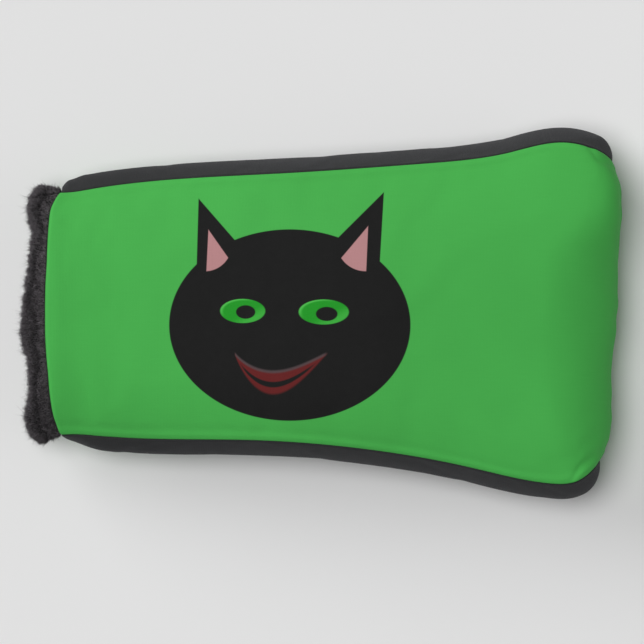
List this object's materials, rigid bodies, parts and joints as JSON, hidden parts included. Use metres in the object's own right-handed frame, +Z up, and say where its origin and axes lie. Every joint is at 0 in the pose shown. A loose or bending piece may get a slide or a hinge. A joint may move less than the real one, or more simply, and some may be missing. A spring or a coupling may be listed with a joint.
{
  "type": "putter head cover",
  "caption": "Padded fabric sock for a blade putter's head: printed front and back panels, dark side gussets, foam, pile lining and a fluffy rolled rim at the open mouth.",
  "frame": {"origin": "middle of the underside, on the plane the cover lies on", "axes": "+X from the mouth to the far end, +Y to the left as seen from the mouth, +Z up out of the front panel"},
  "size_m": [0.204, 0.1274, 0.047],
  "materials": {
    "printed_fabric": null,
    "gusset_fabric": "charcoal woven polyester, matt",
    "foam": "open-cell foam sheet",
    "pile_lining": "short fluffy pile",
    "pile_cuff": "fluffy pile, rolled over the edge",
    "thread": "twisted polyester thread"
  },
  "bodies": {
    "root": {"front_panel": "printed_fabric", "back_panel": "printed_fabric", "left_gusset": "gusset_fabric", "right_gusset": "gusset_fabric", "front_foam": "foam", "back_foam": "foam", "left_foam": "foam", "right_foam": "foam", "front_lining": "pile_lining", "back_lining": "pile_lining", "left_lining": "pile_lining", "right_lining": "pile_lining", "front_cuff": "pile_cuff", "back_cuff": "pile_cuff", "left_cuff": "pile_cuff", "right_cuff": "pile_cuff", "left_front_thread": "thread", "left_back_thread": "thread", "right_front_thread": "thread", "right_back_thread": "thread", "end_thread": "thread", "mouth_thread": "thread"}
  },
  "joints": []
}
